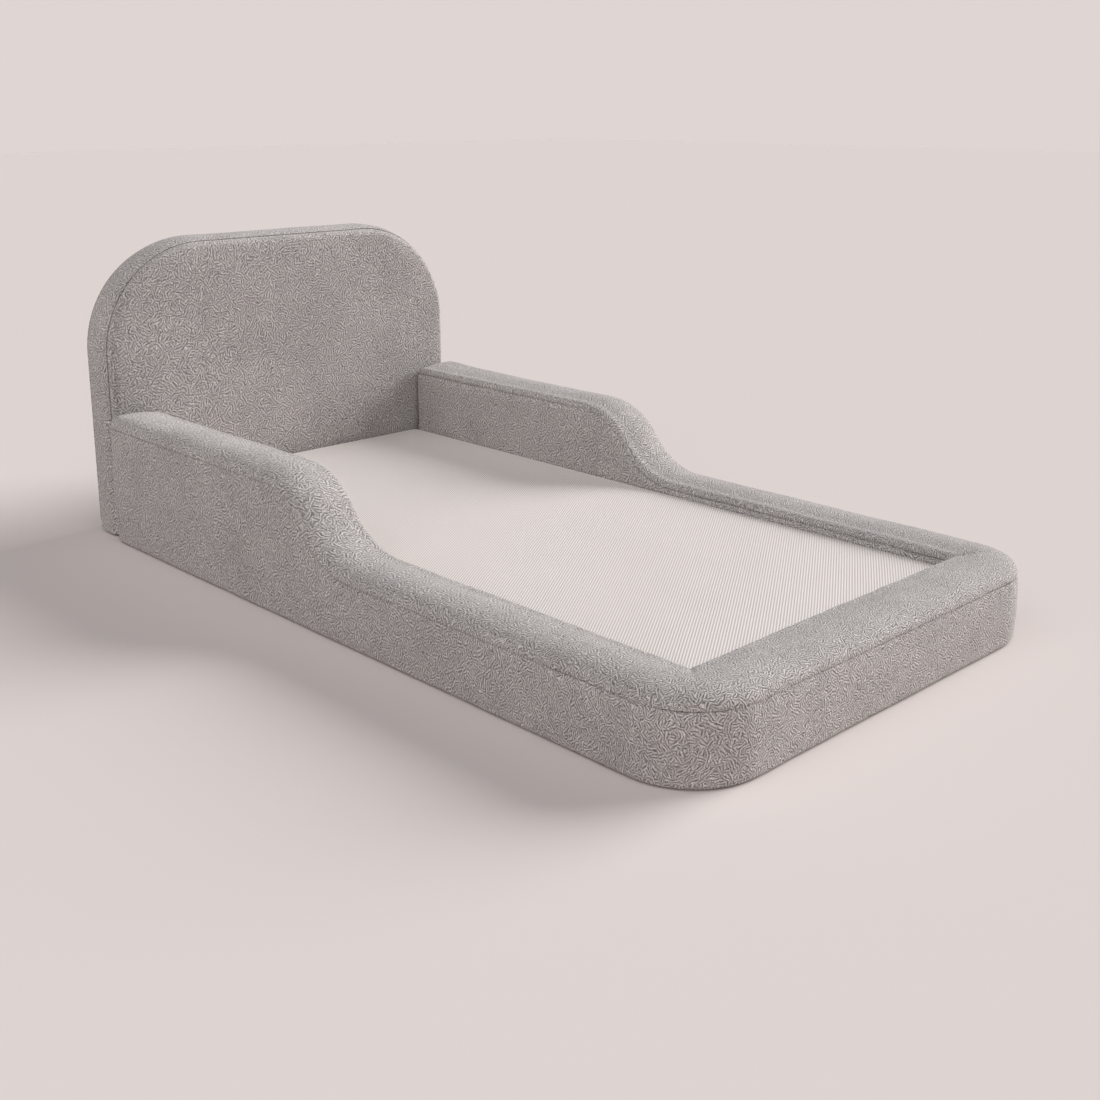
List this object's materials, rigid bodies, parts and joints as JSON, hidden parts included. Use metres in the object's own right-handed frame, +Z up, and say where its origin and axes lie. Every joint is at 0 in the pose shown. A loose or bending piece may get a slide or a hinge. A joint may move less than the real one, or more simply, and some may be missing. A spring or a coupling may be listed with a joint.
{
  "type": "toddler bed",
  "caption": "Low upholstered toddler floor bed with soft rails on three sides that step down from the head, an arched headboard and a ribbed mattress that lifts out of the well.",
  "frame": {"origin": "on the floor, under the middle of the bed's overall width and length", "axes": "+Y towards the headboard, +Z up, +X to the right as seen from the foot looking at the headboard"},
  "size_m": [1.18, 2.18, 0.79],
  "materials": {
    "boucle": "grey looped boucle upholstery cloth",
    "mattress_knit": "warm white ribbed quilted knit",
    "mattress_cloth": "warm white flat knit",
    "lining_cloth": "pale grey quilted lining",
    "underside_cloth": "black non-slip woven cloth",
    "foam": "open-cell polyurethane foam",
    "plywood": "raw birch plywood",
    "touch_fastener": "woven hook and loop tape",
    "zip_tape": "woven polyester zip tape",
    "zip_coil": "moulded polyester zip coil",
    "zip_metal": "die-cast metal with a nickel look"
  },
  "bodies": {
    "frame": {"base_panel": "underside_cloth", "base_foam": "foam", "well_lining": "lining_cloth", "base_end_panel": "lining_cloth", "foot_core": "foam", "rail_core_left": "foam", "rail_core_right": "foam", "rail_top_panel": "boucle", "outer_band": "boucle", "inner_band": "boucle", "rail_end_panel_left": "boucle", "rail_end_panel_right": "boucle", "frame_left_zip_tape": "zip_tape", "frame_left_zip_coil": "zip_coil", "frame_left_zip_stops": "zip_metal", "frame_right_zip_tape": "zip_tape", "frame_right_zip_coil": "zip_coil", "frame_right_zip_stops": "zip_metal", "hook_strips": "touch_fastener", "loop_strips": "touch_fastener", "headboard_board": "plywood", "headboard_front_foam": "foam", "headboard_back_foam": "foam", "headboard_front_panel": "boucle", "headboard_gusset": "boucle", "headboard_back_panel": "boucle", "headboard_base_panel": "underside_cloth", "headboard_zip_tape": "zip_tape", "headboard_zip_coil": "zip_coil", "headboard_zip_stops": "zip_metal"},
    "mattress": {"mattress_base_panel": "mattress_cloth", "mattress_core": "foam", "mattress_comfort_layer": "foam", "mattress_top_panel": "mattress_knit", "mattress_border": "mattress_cloth", "mattress_zip_tape": "zip_tape", "mattress_zip_coil": "zip_coil", "mattress_zip_stops": "zip_metal"},
    "frame_left_slider": {"frame_left_zip_slider": "zip_metal"},
    "frame_right_slider": {"frame_right_zip_slider": "zip_metal"},
    "headboard_slider": {"headboard_zip_slider": "zip_metal"},
    "mattress_slider": {"mattress_zip_slider": "zip_metal"}
  },
  "joints": [
    {"name": "mattress_lift", "type": "slide", "parent": "frame", "child": "mattress", "axis": [0, 0, 1], "range_m": [0, 0.32]},
    {"name": "frame_left_zip", "type": "slide", "parent": "frame", "child": "frame_left_slider", "axis": [0, 1, 0], "range_m": [0, 1.472]},
    {"name": "frame_right_zip", "type": "slide", "parent": "frame", "child": "frame_right_slider", "axis": [0, 1, 0], "range_m": [0, 1.472]},
    {"name": "headboard_zip", "type": "slide", "parent": "frame", "child": "headboard_slider", "axis": [1, 0, 0], "range_m": [0, 0.992]},
    {"name": "mattress_zip", "type": "slide", "parent": "mattress", "child": "mattress_slider", "axis": [0, 1, 0], "range_m": [0, 1.672]}
  ]
}
